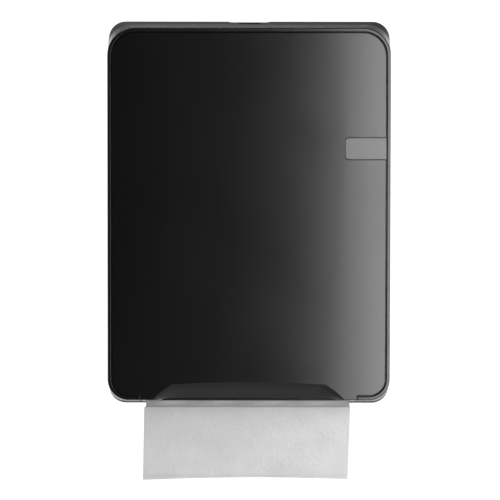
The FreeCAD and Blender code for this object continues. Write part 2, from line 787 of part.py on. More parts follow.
def lock_housing():
    """Insert in the casing's top: the land, the key pocket, the barrel's sleeve and two ears."""
    half = land_width / 2 - land_gap
    reach = land_length - land_gap
    land = top_slab(half, 0, reach, land_drop, casing_wall)
    cup_half = pocket_half + pocket_wall
    cup_front_y = -(pocket_front_depth + pocket_wall)
    cup = box(-cup_half, cup_half, cup_front_y, pocket_wall - pocket_back_depth, floor_under_z, top_at(0))
    cup = cup.common(top_slab(half, 0, reach, land_drop, casing_height / 2))
    ear_y = -housing_screw_depth - housing_ear_width / 2
    ears = box(-housing_ear_half, housing_ear_half, ear_y, ear_y + housing_ear_width,
               housing_ear_under_z, housing_seat_z)
    sleeve = rod_z(0, -lock_depth, housing_end_z, pocket_floor_z, housing_radius)
    front_radius = pocket_half - pocket_side_run
    pocket = rounded_outline(-pocket_half, pocket_half, -pocket_front_depth, -pocket_back_depth,
                             front_radius, pocket_back_radius, level(pocket_floor_z))
    cuts = [Part.Face(pocket).extrude(Vector(0, 0, casing_height))]
    cuts.append(rod_z(0, -lock_depth, 0, casing_height, barrel_radius + running_gap))
    cuts.append(rod_z(housing_screw_x, -housing_screw_depth, 0, casing_height, screw_hole_radius))
    hole = peg_half + peg_gap
    cuts.append(top_peg(-housing_screw_x, housing_screw_depth, hole, 0, casing_height))
    return joined([land, cup, ears, sleeve]).cut(cuts)


def tang(gap, z0, z1):
    half = tang_width / 2 + gap
    return box(-half, half, -lock_depth - half, -lock_depth + half, z0, z1)


def lock_barrel():
    """Quarter-turn barrel with a key slot in its head and a square tang below."""
    head_z = pocket_floor_z + screw_clearance
    body_rod = rod_z(0, -lock_depth, barrel_end_z, head_z, barrel_radius)
    head = rod_z(0, -lock_depth, head_z, head_z + barrel_head_thickness, barrel_head_radius)
    square = tang(0, barrel_end_z - cam_thickness + tang_short, barrel_end_z)
    top_z = head_z + barrel_head_thickness
    slot = box(
        -key_slot_width / 2, key_slot_width / 2,
        -lock_depth - key_slot_length / 2, -lock_depth + key_slot_length / 2,
        top_z - key_slot_depth, top_z + overrun,
    )
    thread = rod_z(0, -lock_depth, 0, barrel_end_z + cam_screw_length, cam_screw_radius + screw_clearance)
    return joined([body_rod, head, square]).cut(slot).cut(thread)


def lock_cam():
    """Locking tongue, shown unlocked and pointing forward."""
    z0 = barrel_end_z - cam_thickness
    half = cam_width / 2
    tip_y = -(lock_depth + cam_length)
    outline = rounded_outline(-half, half, tip_y, -lock_depth, half / 2, half / 4, level(z0))
    tongue = Part.Face(outline).extrude(Vector(0, 0, cam_thickness))
    hub = rod_z(0, -lock_depth, z0, barrel_end_z, half)
    return joined([hub, tongue]).cut(tang(tang_gap, 0, casing_height))


def cam_washer():
    z1 = barrel_end_z - cam_thickness
    ring = rod_z(0, -lock_depth, z1 - washer_thickness, z1, washer_radius)
    return ring.cut(rod_z(0, -lock_depth, 0, casing_height, cam_screw_radius + screw_hole_gap))


def cam_screw():
    seat = Vector(0, -lock_depth, barrel_end_z - cam_thickness - washer_thickness)
    grip = washer_thickness + cam_thickness + cam_screw_length - screw_clearance
    return screw(cam_screw_radius, grip, seat, Vector(0, 0, 1))


def strike_plate():
    """Steel strip under the cover's top, bent down at its back end to meet the cam."""
    x0 = strike_inner_x
    lip_front = -(lock_depth - cam_width / 2 - strike_lip_gap)
    lip_back = lip_front + strike_thickness
    outer = strike_bend_radius + strike_thickness
    front = -strike_front_depth
    top = strike_top_z
    under = strike_under_z
    bend = Vector(x0, lip_back - outer, top - outer)
    diagonal = 1 / sqrt(2)
    reach = Vector(0, diagonal, diagonal)
    edges = [
        line(Vector(x0, front, under), Vector(x0, front, top)),
        line(Vector(x0, front, top), Vector(x0, bend.y, top)),
        arc(Vector(x0, bend.y, top), bend + reach * outer, Vector(x0, lip_back, bend.z)),
        line(Vector(x0, lip_back, bend.z), Vector(x0, lip_back, strike_lip_end_z)),
        line(Vector(x0, lip_back, strike_lip_end_z), Vector(x0, lip_front, strike_lip_end_z)),
        line(Vector(x0, lip_front, strike_lip_end_z), Vector(x0, lip_front, bend.z)),
        arc(Vector(x0, lip_front, bend.z), bend + reach * strike_bend_radius, Vector(x0, bend.y, under)),
        line(Vector(x0, bend.y, under), Vector(x0, front, under)),
    ]
    strip = Part.Face(Part.Wire(edges)).extrude(Vector(strike_width, 0, 0))
    hole = rod_z(strike_middle_x, -strike_screw_depth, 0, casing_height, screw_hole_radius)
    return strip.cut([hole, top_peg(strike_middle_x, strike_peg_depth, peg_half + peg_gap, 0, casing_height)])


def tray_screw():
    seat = Vector(0, -(seat_depth + tray_flange_thickness), tray_screw_z)
    return screw(screw_radius, tray_flange_thickness + screw_grip, seat, Vector(0, 1, 0))


def guide_screws():
    y = -(seat_depth + guide_thickness)
    grip = guide_thickness + screw_grip
    seats = [Vector(-guide_screw_x, y, guide_screw_z), Vector(guide_screw_x, y, guide_screw_z)]
    return Part.makeCompound([screw(screw_radius, grip, seat, Vector(0, 1, 0)) for seat in seats])


def lock_housing_screw():
    seat = Vector(housing_screw_x, -housing_screw_depth, housing_ear_under_z)
    return screw(screw_radius, housing_ear_thickness + screw_grip, seat, Vector(0, 0, 1))


def strike_screw():
    seat = Vector(strike_middle_x, -strike_screw_depth, strike_under_z)
    return screw(screw_radius, strike_thickness + screw_grip, seat, Vector(0, 0, 1))


pieces = {
    "wall_casing": wall_casing,
    "towel_tray": towel_tray,
    "tray_screw": tray_screw,
    "pack_guide_right": pack_guide_right,
    "guide_screws": guide_screws,
    "towel_pack": towel_pack,
    "towel_sheet": towel_sheet,
    "hinge_pin_right": hinge_pin_right,
    "cover_frame": cover_frame,
    "front_panel": front_panel,
    "name_plate": name_plate,
    "strike_plate": strike_plate,
    "strike_screw": strike_screw,
    "lock_housing": lock_housing,
    "lock_housing_screw": lock_housing_screw,
    "lock_barrel": lock_barrel,
    "lock_cam": lock_cam,
    "cam_washer": cam_washer,
    "cam_screw": cam_screw,
}

os.makedirs("parts", exist_ok=True)
for name, make in pieces.items():
    shape = make()
    shape.exportStep("parts/" + name + ".step")
    if name.endswith("_right"):
        twin = name.replace("_right", "_left")
        mirrored(shape).exportStep("parts/" + twin + ".step")
    print(name, "solids", len(shape.Solids), "valid", shape.isValid(), "volume", round(shape.Volume))
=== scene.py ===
"""Folded paper towel dispenser: finishes, hanging towel, towel stack and studio, laid out as an add-on."""

import math
import random

import bmesh
import bpy
from bpy.props import FloatProperty, FloatVectorProperty, IntProperty, PointerProperty
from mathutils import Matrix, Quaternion, Vector, noise


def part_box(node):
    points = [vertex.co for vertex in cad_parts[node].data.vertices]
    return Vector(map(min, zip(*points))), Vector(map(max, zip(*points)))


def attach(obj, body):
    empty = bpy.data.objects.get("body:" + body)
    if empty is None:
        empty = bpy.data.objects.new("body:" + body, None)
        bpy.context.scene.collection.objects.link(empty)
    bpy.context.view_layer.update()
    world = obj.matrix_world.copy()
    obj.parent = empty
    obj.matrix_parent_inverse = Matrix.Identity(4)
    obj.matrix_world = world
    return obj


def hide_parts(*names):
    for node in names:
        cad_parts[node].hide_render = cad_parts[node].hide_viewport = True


bl_info = {
    "name": "Folded Towel Dispenser",
    "version": (1, 0, 0),
    "blender": (4, 5, 0),
    "location": "3D View > Sidebar > Dispenser",
    "description": "Finishes the towel dispenser, hangs its towel and sets up the studio",
    "category": "Object",
}

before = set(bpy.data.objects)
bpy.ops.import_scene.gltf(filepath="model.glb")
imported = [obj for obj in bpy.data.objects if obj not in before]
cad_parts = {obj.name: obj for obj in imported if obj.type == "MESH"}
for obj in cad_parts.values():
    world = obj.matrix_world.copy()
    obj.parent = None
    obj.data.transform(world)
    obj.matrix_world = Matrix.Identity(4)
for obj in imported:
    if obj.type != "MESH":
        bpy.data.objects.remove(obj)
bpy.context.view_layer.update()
sheet_low, sheet_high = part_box("towel_sheet")
pack_low, pack_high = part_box("towel_pack")

MM = 0.001

# Nearly all values of a noise texture lie in this span.
NOISE_SPAN = {"From Min": 0.3, "From Max": 0.7}

# Sockets of a Mix node for colours, by number, because its sockets for numbers have the same names.
MIX_FACTOR, MIX_FIRST, MIX_SECOND = 0, 6, 7
MIX_RESULT = 2

# The hanging towel's three plies, from front to back.
FRONT_PLY, MIDDLE_PLY, BACK_PLY = range(3)

# Where the studio's boards stand and end, in metres.
BOARD_SIDE_X = 6
BOARD_BACK_Y = 3.4
FLOOR_Z = -1.3
FLOOR_FRONT_Y = -3.5
SIDE_FRONT_Y = -1.3
BACKDROP_TOP_Z = 0.75
SIDE_TOP_Z = 1.6

# Each soft light's name, place, aim, width and height in metres, and the setting that holds its power.
SOFT_LIGHTS = (
    ("key_soft_box", (0.58, -1.88, -0.1), (0.0, -0.1, -0.1), (0.52, 1.4), "key_power"),
    ("top_soft_box", (-0.5, 0.5, 1.4), (0.0, -0.1, 0.0), (1.4, 0.6), "top_power"),
    ("side_soft_box", (1.1, -0.35, -0.28), (0.0, -0.1, -0.28), (0.9, 1.2), "side_power"),
    ("left_fill_box", (-1.5, 0.6, -0.3), (0.0, -0.1, 0.0), (0.6, 0.9), "fill_power"),
    ("rear_fill_box", (1.3, 1.5, -0.3), (0.0, -0.1, 0.0), (0.6, 0.9), "fill_power"),
)


def linear(hex_code):
    """Turns an sRGB hex colour into linear red, green, blue and alpha."""
    channels = [int(hex_code[start : start + 2], 16) / 255 for start in (1, 3, 5)]
    return [c / 12.92 if c <= 0.04045 else ((c + 0.055) / 1.055) ** 2.4 for c in channels] + [1.0]


def colour_setting(name, description, hex_code):
    """One colour that a user would change."""
    return FloatVectorProperty(
        name=name, description=description, default=linear(hex_code), subtype="COLOR", size=4, min=0, max=1
    )


class DispenserColours(bpy.types.PropertyGroup):
    """Colours of the dispenser's plastics, metals and paper."""

    casing: colour_setting("Casing", "Spark-textured ABS of the casing", "#101011")
    panel: colour_setting("Panel", "ABS of the front panel and of the cover's frame", "#080809")
    inner: colour_setting("Inner parts", "Plain black polypropylene inside", "#161617")
    plate: colour_setting("Plate", "Satin grey of the bare plate in the panel", "#6e6e70")
    zinc: colour_setting("Zinc plating", "Bright zinc on the screws, washer, strike and cam", "#c9cccf")
    steel: colour_setting("Turned steel", "Bare steel of the hinge pins", "#b4b6b9")
    die_cast: colour_setting("Die casting", "Dark zinc casting of the lock barrel", "#4b4c4e")
    tissue: colour_setting("Tissue", "White creped towel paper", "#e5e5e5")
    # Painted shade: a darker tissue colour for the one ply above the crease, standing in for the cover's
    # shadow and the dark mouth showing through.
    painted_shade_ply: colour_setting("Single ply", "The towel's one ply above its crease", "#cacaca")


class DispenserTowels(bpy.types.PropertyGroup):
    """Sizes of the towels, in metres, as folded."""

    leaf_width: FloatProperty(
        name="Leaf width",
        description="Width of one towel across the dispenser",
        default=0.206,
        unit="LENGTH",
    )
    leaf_gap: FloatProperty(
        name="Fold pitch",
        description="Height of one folded towel in the stack",
        default=0.0034,
        unit="LENGTH",
    )
    ply_gap: FloatProperty(
        name="Ply gap",
        description="Space between the plies of the hanging towel",
        default=0.00035,
        unit="LENGTH",
    )
    hem_show: FloatProperty(
        name="Hem offset",
        description="How far the back fold shows below the front hem",
        default=0.0026,
        unit="LENGTH",
    )
    crease_height: FloatProperty(
        name="Crease height",
        description="Height of the front crease in the dispenser's frame",
        default=-0.1947,
        unit="LENGTH",
    )
    seed: IntProperty(name="Seed", description="Seed of the stack's small irregularities", default=7)


class DispenserStudio(bpy.types.PropertyGroup):
    """Camera and light of the studio."""

    lens: FloatProperty(
        name="Lens",
        description="Focal length of the camera on a 36 mm sensor",
        default=144.24,
        unit="CAMERA",
    )
    camera_roll: FloatProperty(
        name="Camera roll", description="Roll of the camera", default=math.radians(0.08), subtype="ANGLE"
    )
    key_power: FloatProperty(
        name="Key light", description="Tall soft light at the right front", default=17.0, unit="POWER"
    )
    top_power: FloatProperty(name="Top light", description="Soft light overhead", default=9.0, unit="POWER")
    side_power: FloatProperty(
        name="Side light", description="Soft light at the right side", default=18.0, unit="POWER"
    )
    fill_power: FloatProperty(
        name="Fill lights", description="Each of the two weak soft lights behind", default=7.0, unit="POWER"
    )
    room_level: FloatProperty(name="Room level", description="Grey level of the room", default=0.13)


def add_node(tree, kind, links=None, **settings):
    """Adds one node, with its own settings, its socket values and what its sockets are linked to."""
    node = tree.nodes.new(kind)
    for name, value in settings.items():
        setattr(node, name, value)
    for name, value in (links or {}).items():
        if isinstance(value, bpy.types.NodeSocket):
            tree.links.new(value, node.inputs[name])
        else:
            node.inputs[name].default_value = value
    return node


def new_material(name, colour, values):
    """An empty material with its viewport colour, its node tree and the shader that ends it."""
    material = bpy.data.materials.new(name)
    material.use_nodes = True
    material.diffuse_color = colour
    tree = material.node_tree
    tree.nodes.clear()
    shader = add_node(tree, "ShaderNodeBsdfPrincipled", {"Base Color": colour, **values})
    add_node(tree, "ShaderNodeOutputMaterial", {"Surface": shader.outputs["BSDF"]})
    return material, tree, shader


def cycles_per_metre(millimetres):
    """Scale of a pattern whose grains are that wide."""
    return 1.0 / (millimetres * MM)


def moulded_plastic(
    name, colour, ior, roughness, spread, grain_mm, grain_height_mm, cloud_mm, shade, specular=0.5
):
    """Moulded plastic: one colour all through, the mould's fine texture and slow changes of gloss.

    Moulded edges have a radius of about half a millimetre, which catches a thin line of light. The
    bottom of a narrow groove isn't polished in the mould, so it stays dull and shows nearly black.
    """
    material, tree, shader = new_material(name, colour, {"IOR": ior, "Specular IOR Level": specular})
    place = add_node(tree, "ShaderNodeTexCoord").outputs["Object"]
    grain = add_node(
        tree,
        "ShaderNodeTexNoise",
        {"Vector": place, "Scale": cycles_per_metre(grain_mm), "Detail": 2.0, "Roughness": 0.6},
    )
    cloud = add_node(
        tree,
        "ShaderNodeTexNoise",
        {"Vector": place, "Scale": cycles_per_metre(cloud_mm), "Detail": 3.0, "Roughness": 0.5},
    )
    gloss = add_node(
        tree,
        "ShaderNodeMapRange",
        {
            **NOISE_SPAN,
            "Value": cloud.outputs["Fac"],
            "To Min": roughness - spread,
            "To Max": roughness + spread,
        },
    )
    speck = add_node(
        tree,
        "ShaderNodeMapRange",
        {
            "Value": grain.outputs["Fac"],
            "From Min": 0.25,
            "From Max": 0.75,
            "To Min": 1.0 - shade,
            "To Max": 1.0 + shade,
        },
    )
    tint = add_node(
        tree,
        "ShaderNodeMix",
        {MIX_FACTOR: 1.0, MIX_FIRST: colour, MIX_SECOND: speck.outputs["Result"]},
        data_type="RGBA",
        blend_type="MULTIPLY",
    )
    tree.links.new(tint.outputs[MIX_RESULT], shader.inputs["Base Color"])
    openness = add_node(tree, "ShaderNodeAmbientOcclusion", {"Distance": 2.0 * MM}, samples=8)
    groove = add_node(
        tree,
        "ShaderNodeMapRange",
        {
            "Value": openness.outputs["AO"],
            "From Min": 0.38,
            "From Max": 0.52,
            "To Min": 0.9,
            "To Max": 0.0,
        },
    )
    duller = add_node(
        tree,
        "ShaderNodeMath",
        {0: gloss.outputs["Result"], 1: groove.outputs["Result"]},
        operation="MAXIMUM",
    )
    tree.links.new(duller.outputs["Value"], shader.inputs["Roughness"])
    soft_edge = add_node(tree, "ShaderNodeBevel", {"Radius": 0.5 * MM}, samples=6)
    bump = add_node(
        tree,
        "ShaderNodeBump",
        {
            "Height": grain.outputs["Fac"],
            "Strength": 1.0,
            "Distance": grain_height_mm * MM,
            "Normal": soft_edge.outputs["Normal"],
        },
    )
    tree.links.new(bump.outputs["Normal"], shader.inputs["Normal"])
    return material


def satin_abs(colour):
    """Injection-moulded ABS from a lightly etched mould: a soft sheen along the crown, with a fine grain.

    The real grain is about 0.1 mm, too fine to show, so it is drawn at 1.2 mm, near one pixel.
    """
    return moulded_plastic(
        "satin_moulded_abs",
        colour,
        ior=1.54,
        roughness=0.20,
        spread=0.012,
        grain_mm=1.2,
        grain_height_mm=0.006,
        cloud_mm=60.0,
        shade=0.10,
    )


def spark_abs(colour):
    """ABS moulded in a spark-eroded tool: an even dull texture that scatters most of the light.

    The real pits are about 0.15 mm, too fine to show, so they are drawn at 0.9 mm.
    """
    return moulded_plastic(
        "spark_textured_abs",
        colour,
        ior=1.54,
        roughness=0.46,
        spread=0.03,
        grain_mm=0.9,
        grain_height_mm=0.010,
        cloud_mm=45.0,
        shade=0.12,
        specular=0.3,
    )


def fine_abs(colour):
    """ABS moulded in a fine-blasted tool: nearly as smooth as the panel, with its edges a little duller.

    The blasting leaves a grain of about 0.05 mm, too fine to show, so it is drawn at 0.9 mm.
    """
    return moulded_plastic(
        "fine_moulded_abs",
        colour,
        ior=1.54,
        roughness=0.25,
        spread=0.02,
        grain_mm=0.9,
        grain_height_mm=0.004,
        cloud_mm=45.0,
        shade=0.10,
    )


def plain_polypropylene(colour):
    """Plain moulded polypropylene: waxy and half dull, with the slow waves of sink over its ribs.

    The mould's polishing marks are about 0.2 mm, too fine to show, so they are drawn at 2.5 mm.
    """
    return moulded_plastic(
        "moulded_polypropylene",
        colour,
        ior=1.49,
        roughness=0.45,
        spread=0.05,
        grain_mm=2.5,
        grain_height_mm=0.012,
        cloud_mm=30.0,
        shade=0.08,
    )


def satin_plate(colour):
    """Satin-sprayed ABS plate: a flat mid grey with a fine mist of spray.

    The mist's droplets are about 0.05 mm, too fine to show, so they are drawn at 0.8 mm.
    """
    return moulded_plastic(
        "satin_sprayed_plate",
        colour,
        ior=1.50,
        roughness=0.30,
        spread=0.015,
        grain_mm=0.8,
        grain_height_mm=0.004,
        cloud_mm=20.0,
        shade=0.06,
    )


def plated_metal(name, colour, roughness, line_mm, line_height_mm, stretch):
    """Metal with fine lines left by its making: rolled, turned or cast, then plated or left bare.

    The lines are about 0.1 mm apart, too fine to show, so they are drawn at line_mm.
    """
    cloud_mm = 6.0
    brighter = 0.06
    duller = 0.08
    material, tree, shader = new_material(name, colour, {"Metallic": 1.0})
    place = add_node(tree, "ShaderNodeTexCoord").outputs["Object"]
    turned = add_node(tree, "ShaderNodeMapping", {"Vector": place, "Scale": stretch})
    lines = add_node(
        tree,
        "ShaderNodeTexNoise",
        {"Vector": turned.outputs["Vector"], "Scale": cycles_per_metre(line_mm), "Detail": 3.0},
    )
    bloom = add_node(
        tree,
        "ShaderNodeTexNoise",
        {"Vector": place, "Scale": cycles_per_metre(cloud_mm), "Detail": 2.0},
    )
    gloss = add_node(
        tree,
        "ShaderNodeMapRange",
        {
            **NOISE_SPAN,
            "Value": bloom.outputs["Fac"],
            "To Min": roughness - brighter,
            "To Max": roughness + duller,
        },
    )
    tree.links.new(gloss.outputs["Result"], shader.inputs["Roughness"])
    bump = add_node(
        tree,
        "ShaderNodeBump",
        {"Height": lines.outputs["Fac"], "Strength": 1.0, "Distance": line_height_mm * MM},
    )
    tree.links.new(bump.outputs["Normal"], shader.inputs["Normal"])
    return material


def zinc_plated_steel(colour):
    """Rolled steel with bright zinc: silver, a little cloudy, with faint lines along the strip."""
    return plated_metal(
        "zinc_plated_steel",
        colour,
        roughness=0.34,
        line_mm=0.6,
        line_height_mm=0.002,
        stretch=(1.0, 1.0, 0.2),
    )


def turned_steel(colour):
    """Bar steel turned on a lathe: rings round the pin, which lies across the dispenser."""
    return plated_metal(
        "turned_steel",
        colour,
        roughness=0.26,
        line_mm=0.35,
        line_height_mm=0.003,
        stretch=(1.0, 0.1, 0.1),
    )


def die_cast_zinc(colour):
    """Die-cast zinc with a dark finish: fine pits and a dull metal gloss."""
    return plated_metal(
        "dark_die_cast_zinc",
        colour,
        roughness=0.42,
        line_mm=0.5,
        line_height_mm=0.004,
        stretch=(1.0, 1.0, 1.0),
    )


def creped_tissue(name, colour):
    """Creped towel paper: dull fibres, fine crepe ridges, a soft pressed emboss and a cloudy formation.

    Crepe ridges are about 0.5 mm apart, too fine to show, so they are drawn at 1.4 mm. The emboss is
    about 2.2 mm wide, and the pulp lies thicker and thinner in clouds of about 20 mm.
    """
    crepe_mm = 1.4
    emboss_mm = 2.2
    cloud_mm = 20.0
    surface = {
        "Roughness": 0.95,
        "IOR": 1.45,
        "Specular IOR Level": 0.2,
        "Sheen Weight": 0.12,
        "Sheen Roughness": 0.6,
    }
    material, tree, shader = new_material(name, colour, surface)
    place = add_node(tree, "ShaderNodeTexCoord").outputs["Object"]
    across = add_node(tree, "ShaderNodeMapping", {"Vector": place, "Scale": (0.35, 1.0, 1.0)})
    crepe = add_node(
        tree,
        "ShaderNodeTexNoise",
        {"Vector": across.outputs["Vector"], "Scale": cycles_per_metre(crepe_mm), "Detail": 3.0},
    )
    slanted = add_node(
        tree,
        "ShaderNodeMapping",
        {"Vector": place, "Rotation": (0.0, math.radians(24.0), 0.0), "Scale": (1.0, 1.0, 0.7)},
    )
    emboss = add_node(
        tree,
        "ShaderNodeTexNoise",
        {"Vector": slanted.outputs["Vector"], "Scale": cycles_per_metre(emboss_mm), "Detail": 2.0},
    )
    crepe_bump = add_node(
        tree,
        "ShaderNodeBump",
        {"Height": crepe.outputs["Fac"], "Strength": 1.0, "Distance": 0.20 * MM},
    )
    emboss_bump = add_node(
        tree,
        "ShaderNodeBump",
        {
            "Height": emboss.outputs["Fac"],
            "Strength": 1.0,
            "Distance": 0.4 * MM,
            "Normal": crepe_bump.outputs["Normal"],
        },
    )
    tree.links.new(emboss_bump.outputs["Normal"], shader.inputs["Normal"])
    formation = add_node(
        tree,
        "ShaderNodeTexNoise",
        {"Vector": place, "Scale": cycles_per_metre(cloud_mm), "Detail": 3.0},
    )
    fibres = add_node(
        tree,
        "ShaderNodeMapRange",
        {**NOISE_SPAN, "Value": formation.outputs["Fac"], "To Min": 0.925, "To Max": 1.0},
    )
    tint = add_node(
        tree,
        "ShaderNodeMix",
        {MIX_FACTOR: 1.0, MIX_FIRST: colour, MIX_SECOND: fibres.outputs["Result"]},
        data_type="RGBA",
        blend_type="MULTIPLY",
    )
    tree.links.new(tint.outputs[MIX_RESULT], shader.inputs["Base Color"])
    return material


def dress(node_names, material):
    """Gives CAD nodes a material in every slot they have."""
    for name in node_names:
        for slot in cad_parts[name].material_slots:
            slot.material = material


def mesh_data(name, mesh):
    """Turns a finished bmesh into mesh data and frees it."""
    data = bpy.data.meshes.new(name)
    mesh.to_mesh(data)
    mesh.free()
    return data


def finish_piece(piece, material, body):
    """Shades a new piece smooth, gives it its material and ties it to its body."""
    piece.data.materials.append(material)
    for face in piece.data.polygons:
        face.use_smooth = True
    bpy.context.scene.collection.objects.link(piece)
    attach(piece, body)


def smooth_step(value, start, end):
    """Rises from 0 at start to 1 at end, with level ends."""
    share = min(1.0, max(0.0, (value - start) / (end - start)))
    return share * share * (3.0 - 2.0 * share)


class DISPENSER_OT_dress_shells(bpy.types.Operator):
    """Give the casing, the cover, its panel and the plate their moulded finishes"""

    bl_idname = "dispenser.dress_shells"
    bl_label = "Dress Shells"

    def execute(self, context):
        colours = context.scene.dispenser_colours
        dress(["wall_casing"], spark_abs(list(colours.casing)))
        dress(["cover_frame"], fine_abs(list(colours.panel)))
        dress(["front_panel"], satin_abs(list(colours.panel)))
        dress(["name_plate"], satin_plate(list(colours.plate)))
        return {"FINISHED"}


class DISPENSER_OT_dress_inner_parts(bpy.types.Operator):
    """Give the tray, the guides and the lock housing their plain moulded finish"""

    bl_idname = "dispenser.dress_inner_parts"
    bl_label = "Dress Inner Parts"

    def execute(self, context):
        plain = plain_polypropylene(list(context.scene.dispenser_colours.inner))
        dress(["towel_tray", "pack_guide_left", "pack_guide_right", "lock_housing"], plain)
        return {"FINISHED"}


class DISPENSER_OT_dress_metal_parts(bpy.types.Operator):
    """Give the pins, the screws, the strike and the lock their metals"""

    bl_idname = "dispenser.dress_metal_parts"
    bl_label = "Dress Metal Parts"

    def execute(self, context):
        colours = context.scene.dispenser_colours
        screws = ["tray_screw", "guide_screws", "lock_housing_screw", "strike_screw", "cam_screw"]
        plated = zinc_plated_steel(list(colours.zinc))
        dress([*screws, "cam_washer", "strike_plate", "lock_cam"], plated)
        dress(["hinge_pin_left", "hinge_pin_right"], turned_steel(list(colours.steel)))
        dress(["lock_barrel"], die_cast_zinc(list(colours.die_cast)))
        return {"FINISHED"}


def tissue_material(context):
    """The tissue, made once and shared by the stack and the hanging towel."""
    found = bpy.data.materials.get("creped_tissue")
    return found or creped_tissue("creped_tissue", list(context.scene.dispenser_colours.tissue))


class DISPENSER_OT_stack_towels(bpy.types.Operator):
    """Build the stack of folded towels, one soft-edged leaf at a time"""

    bl_idname = "dispenser.stack_towels"
    bl_label = "Stack Towels"

    def execute(self, context):
        sizes = context.scene.dispenser_towels
        chance = random.Random(sizes.seed)
        count = round((pack_high.z - pack_low.z) / sizes.leaf_gap)
        pitch = (pack_high.z - pack_low.z) / count
        mesh = bmesh.new()
        for number in range(count):
            self.add_leaf(mesh, pack_low.z + (number + 0.5) * pitch, pitch, chance)
        stack = bpy.data.objects.new("stacked_towels", mesh_data("stacked_towels", mesh))
        finish_piece(stack, tissue_material(context), "wall_unit")
        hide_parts("towel_pack")
        return {"FINISHED"}

    def add_leaf(self, mesh, height, pitch, chance):
        """One folded leaf: a thin pillow with round folds at front and back and cut ends."""
        fold_slack_mm = 1.1
        end_slack_mm = 0.7
        fold_steps = 6
        fold_depth = 0.9
        fullness = 0.94
        ripple_height = 0.22 * MM
        ripple_turn = 5.0
        last_column = 12
        half_width = (pack_high.x - pack_low.x) / 2
        front = pack_low.y + chance.uniform(0.0, fold_slack_mm) * MM
        back = pack_high.y - chance.uniform(0.0, fold_slack_mm) * MM
        side = chance.uniform(0.0, end_slack_mm) * MM
        phase = chance.uniform(0.0, math.tau)
        thick = pitch / 2
        profile = []
        for edge, inward in ((front, 1), (back, -1)):
            for step in range(fold_steps + 1):
                turn = math.pi * step / fold_steps
                reach = thick * (1 - math.sin(turn)) * fold_depth
                profile.append((edge + inward * reach, -inward * math.cos(turn) * thick))
        rings = []
        for column in range(last_column + 1):
            share = column / last_column
            x = (share * 2 - 1) * (half_width - side)
            ripple = ripple_height * math.sin(phase + share * ripple_turn)
            ring = []
            for y, z in profile:
                level = min(max(height + z * fullness + ripple / 2, pack_low.z), pack_high.z)
                ring.append(mesh.verts.new((x, y + ripple, level)))
            rings.append(ring)
        for left, right in zip(rings, rings[1:]):
            for index, vertex in enumerate(left):
                following = (index + 1) % len(left)
                mesh.faces.new((vertex, right[index], right[following], left[following]))
        mesh.faces.new(rings[0])
        mesh.faces.new(list(reversed(rings[-1])))


